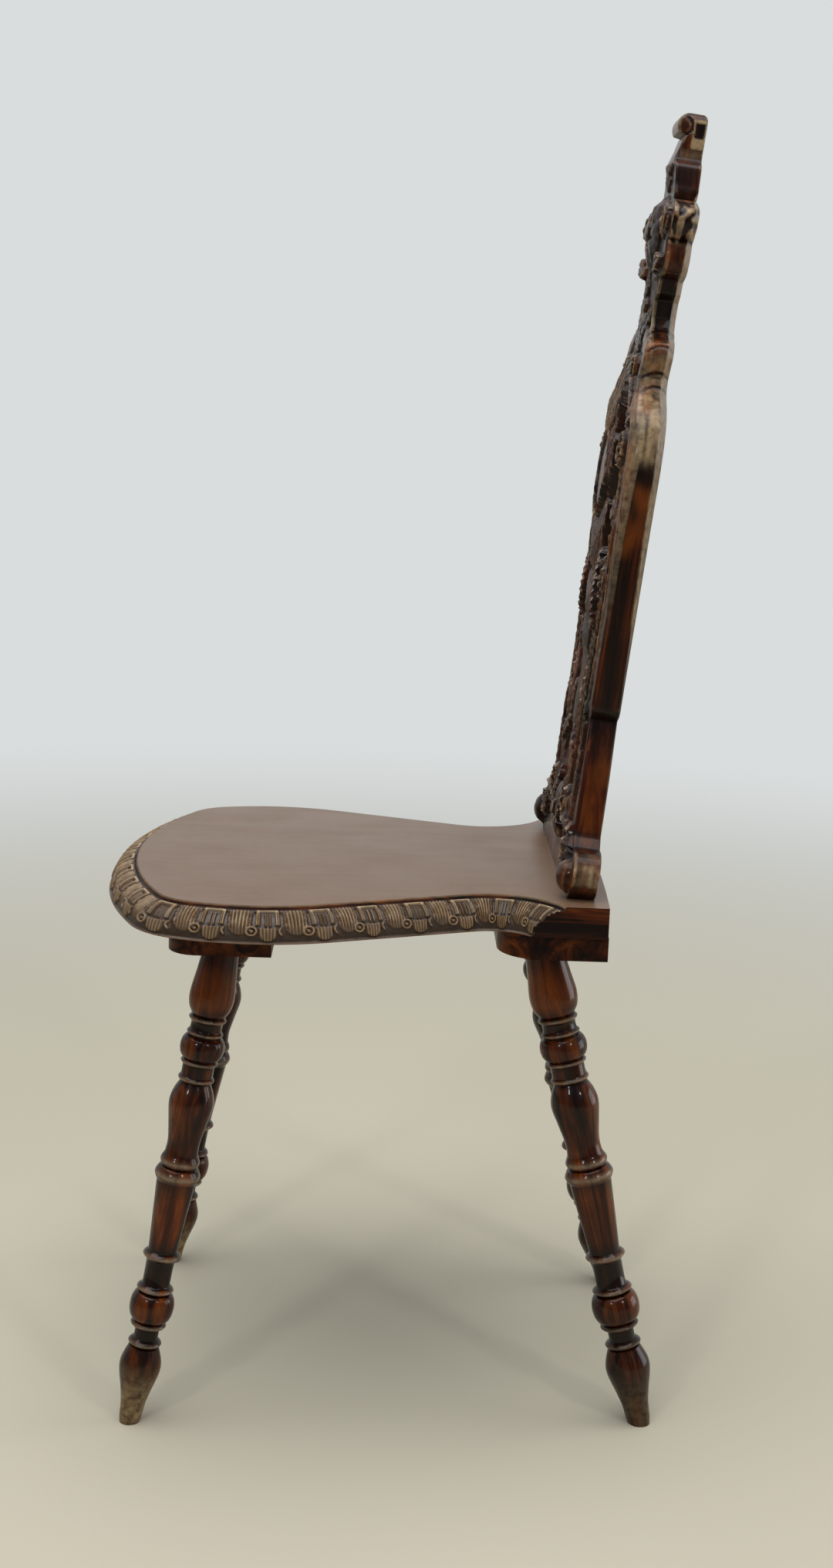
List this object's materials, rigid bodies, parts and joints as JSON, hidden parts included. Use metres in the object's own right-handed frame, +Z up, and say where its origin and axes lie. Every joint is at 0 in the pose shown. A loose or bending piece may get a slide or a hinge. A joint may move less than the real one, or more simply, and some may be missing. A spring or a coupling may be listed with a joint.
{
  "type": "sgabello chair",
  "caption": "Carved walnut hall chair: shaped plank seat with a carved rounded edge, turned splayed legs set in battens, and a tall leaning carved backboard.",
  "frame": {"origin": "on the floor, under the middle of the chair's bounding box", "axes": "+Z up; the chair faces -Y; left and right in the node names are as seen from in front of it, so right is +X, the side nearest the camera in the picture"},
  "size_m": [0.42, 0.4809, 1.0887],
  "materials": {
    "seat_walnut": "waxed and worn satin walnut, grain from front to back",
    "batten_walnut": "dark stained walnut, matt underneath",
    "turned_walnut": "French-polished dark red-brown walnut, glossy, rubbed pale on its sharp rings",
    "carved_walnut": "dark stained carved walnut, glossy on the sides, worn on its high spots",
    "wedge_wood": "plain darkened hardwood",
    "screw_iron": "dull oxidised iron"
  },
  "bodies": {
    "root": {"seat_board": "seat_walnut", "front_batten": "batten_walnut", "rear_batten": "batten_walnut", "leg_front_left": "turned_walnut", "leg_front_right": "turned_walnut", "leg_rear_left": "turned_walnut", "leg_rear_right": "turned_walnut", "back_board": "carved_walnut", "back_wedge_left": "wedge_wood", "back_wedge_right": "wedge_wood", "front_batten_screws": "screw_iron", "rear_batten_screws": "screw_iron"}
  },
  "joints": []
}
